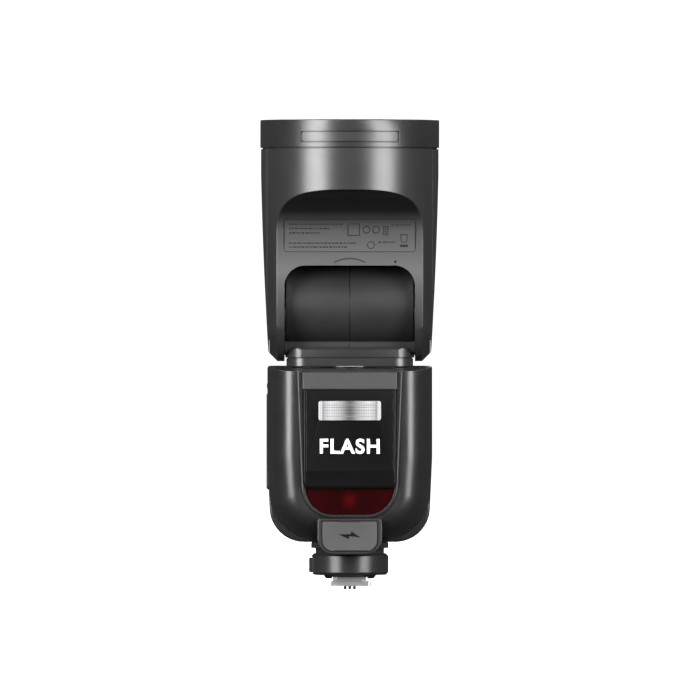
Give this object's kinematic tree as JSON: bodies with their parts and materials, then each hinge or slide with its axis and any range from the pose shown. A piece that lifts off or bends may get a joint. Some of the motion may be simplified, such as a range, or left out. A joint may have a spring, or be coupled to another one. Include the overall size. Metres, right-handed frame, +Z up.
{
  "type": "speedlight flash",
  "caption": "Camera speedlight with a round zoom head on a pan and tilt neck, a removable sub flash on the front, a red assist lamp, a rear display with keys and a hot-shoe foot",
  "frame": {"origin": "centre of the underside of the hot-shoe foot plate", "axes": "+Z up through the body and head, -Y is the front with the sub flash, +X is to the right when the front is looked at"},
  "size_m": [0.078, 0.078, 0.2044],
  "materials": {
    "shell_black": "fine satin grain",
    "front_shell_black": "satin",
    "frame_grey": "satin, moulded",
    "foot_grey": "satin, moulded",
    "gloss_black": "polished",
    "cap_grey": "satin",
    "diffuser_white": "frosted, ribbed",
    "assist_red": "tinted, smooth",
    "clear_lens": "ringed lens",
    "screen_glass": "hard gloss cover",
    "circuit_green": "printed circuit board",
    "capacitor_sleeve": "shrink sleeve",
    "shoe_metal": "worn brushed metal",
    "contact_gold": "plated, polished",
    "fastener_steel": "blackened steel",
    "mirror_bowl": "polished bowl",
    "tube_glass": "quartz tube",
    "rod_steel": "ground rod",
    "key_rubber": "matt silicone",
    "flap_rubber": "matt elastomer",
    "battery_black": "fine grain",
    "label_grey": "smooth label film"
  },
  "bodies": {
    "body": {"body_front_shell": "front_shell_black", "body_rear_shell": "shell_black", "front_frame": "frame_grey", "af_assist_lens": "assist_red", "af_led_module": "circuit_green", "power_socket_frame": "frame_grey", "pan_bearing_ring": "rod_steel", "battery_bay": "shell_black", "side_port_block": "shell_black", "lcd_window": "screen_glass", "display_board": "circuit_green", "main_board": "circuit_green", "main_capacitor": "capacitor_sleeve", "pedestal": "foot_grey", "foot_housing": "foot_grey", "hot_shoe_plate": "shoe_metal", "contact_pins": "contact_gold", "foot_screws": "fastener_steel"},
    "neck": {"swivel_base": "foot_grey", "neck_cover": "shell_black", "barrel_left": "shell_black", "barrel_right": "shell_black", "tilt_axles": "rod_steel"},
    "head": {"head_front_shell": "shell_black", "head_back_shell": "shell_black", "side_cover_left": "shell_black", "side_cover_right": "shell_black", "rating_plate": "label_grey", "head_ring": "shell_black", "ring_insert": "frame_grey", "front_fresnel": "clear_lens", "zoom_frame": "rod_steel", "zoom_motor": "rod_steel", "modelling_lamps": "circuit_green"},
    "carriage": {"zoom_carriage": "foot_grey", "reflector": "mirror_bowl", "flash_tube": "tube_glass"},
    "screw": {"lead_screw": "rod_steel"},
    "sub_flash": {"sub_flash_case": "gloss_black", "sub_flash_cap": "cap_grey", "sub_flash_window": "diffuser_white", "sub_flash_reflector": "mirror_bowl"},
    "battery": {"battery": "battery_black"},
    "catch": {"battery_catch": "key_rubber"},
    "dial": {"select_dial": "shell_black"},
    "set_key": {"set_button": "key_rubber"},
    "soft_1": {"soft_key_1": "key_rubber"},
    "soft_2": {"soft_key_2": "key_rubber"},
    "soft_3": {"soft_key_3": "key_rubber"},
    "soft_4": {"soft_key_4": "key_rubber"},
    "mode_key": {"mode_button": "key_rubber"},
    "menu_key": {"menu_button": "key_rubber"},
    "wireless_key": {"wireless_button": "key_rubber"},
    "test_key": {"test_button": "key_rubber"},
    "switch": {"power_switch": "frame_grey"},
    "socket_flap": {"power_flap": "flap_rubber"},
    "port_cover": {"side_port_cover": "flap_rubber"},
    "lever": {"lock_lever": "foot_grey"},
    "locking_pin": {"lock_pin": "rod_steel"},
    "release_key": {"lock_release_button": "frame_grey"}
  },
  "joints": [
    {"name": "pan", "type": "hinge", "parent": "body", "child": "neck", "pos_m": [0, 0, 0.0953], "axis": [0, 0, 1], "range_deg": [-180, 150]},
    {"name": "tilt", "type": "hinge", "parent": "neck", "child": "head", "pos_m": [0, 0, 0.122], "axis": [1, 0, 0], "range_deg": [-30, 90]},
    {"name": "zoom_screw_turn", "type": "hinge", "parent": "head", "child": "screw", "pos_m": [-0.0295, 0.008, 0.1575], "axis": [0, 0, 1], "range_deg": [0, 841]},
    {"name": "zoom_slide", "type": "slide", "parent": "head", "child": "carriage", "axis": [0, 0, 1], "range_m": [0, 0.014]},
    {"name": "sub_flash_slide", "type": "slide", "parent": "body", "child": "sub_flash", "axis": [0, -1, 0], "range_m": [0, 0.0062]},
    {"name": "battery_slide", "type": "slide", "parent": "body", "child": "battery", "axis": [-1, 0, 0], "range_m": [0, 0.056]},
    {"name": "catch_slide", "type": "slide", "parent": "body", "child": "catch", "axis": [0, 0, 1], "range_m": [0, 0.001], "stiffness_N_per_m": 300},
    {"name": "dial_turn", "type": "hinge", "parent": "body", "child": "dial", "pos_m": [0, 0.027, 0.038], "axis": [0, -1, 0], "continuous": true},
    {"name": "set_press", "type": "slide", "parent": "body", "child": "set_key", "axis": [0, -1, 0], "range_m": [0, 0.0005], "stiffness_N_per_m": 400},
    {"name": "soft_1_press", "type": "slide", "parent": "body", "child": "soft_1", "axis": [0, -1, 0], "range_m": [0, 0.0006], "stiffness_N_per_m": 300},
    {"name": "soft_2_press", "type": "slide", "parent": "body", "child": "soft_2", "axis": [0, -1, 0], "range_m": [0, 0.0006], "stiffness_N_per_m": 300},
    {"name": "soft_3_press", "type": "slide", "parent": "body", "child": "soft_3", "axis": [0, -1, 0], "range_m": [0, 0.0006], "stiffness_N_per_m": 300},
    {"name": "soft_4_press", "type": "slide", "parent": "body", "child": "soft_4", "axis": [0, -1, 0], "range_m": [0, 0.0006], "stiffness_N_per_m": 300},
    {"name": "mode_press", "type": "slide", "parent": "body", "child": "mode_key", "axis": [0, -1, 0], "range_m": [0, 0.0006], "stiffness_N_per_m": 300},
    {"name": "menu_press", "type": "slide", "parent": "body", "child": "menu_key", "axis": [0, -1, 0], "range_m": [0, 0.0006], "stiffness_N_per_m": 300},
    {"name": "wireless_press", "type": "slide", "parent": "body", "child": "wireless_key", "axis": [0, -1, 0], "range_m": [0, 0.0006], "stiffness_N_per_m": 300},
    {"name": "test_press", "type": "slide", "parent": "body", "child": "test_key", "axis": [0, -1, 0], "range_m": [0, 0.0006], "stiffness_N_per_m": 300},
    {"name": "switch_slide", "type": "slide", "parent": "body", "child": "switch", "axis": [1, 0, 0], "range_m": [0, 0.006]},
    {"name": "socket_flap_hinge", "type": "hinge", "parent": "body", "child": "socket_flap", "pos_m": [0, -0.0272, 0.016], "axis": [1, 0, 0], "range_deg": [0, 100]},
    {"name": "port_cover_hinge", "type": "hinge", "parent": "body", "child": "port_cover", "pos_m": [0.0352, 0.0074, 0.069], "axis": [0, 0, 1], "range_deg": [0, 95]},
    {"name": "lock_lever_turn", "type": "hinge", "parent": "body", "child": "lever", "pos_m": [0, 0, 0.0096], "axis": [0, 0, -1], "range_deg": [0, 60]},
    {"name": "lock_pin_slide", "type": "slide", "parent": "body", "child": "locking_pin", "axis": [0, 0, -1], "range_m": [0, 0.0015]},
    {"name": "release_press", "type": "slide", "parent": "body", "child": "release_key", "axis": [1, 0, 0], "range_m": [0, 0.0008], "stiffness_N_per_m": 400}
  ],
  "couplings": [
    {"joint": "zoom_screw_turn", "follows": "zoom_slide", "rad_per_m": 1047.2},
    {"joint": "lock_pin_slide", "follows": "lock_lever_turn", "m_per_rad": 0.0014324}
  ]
}
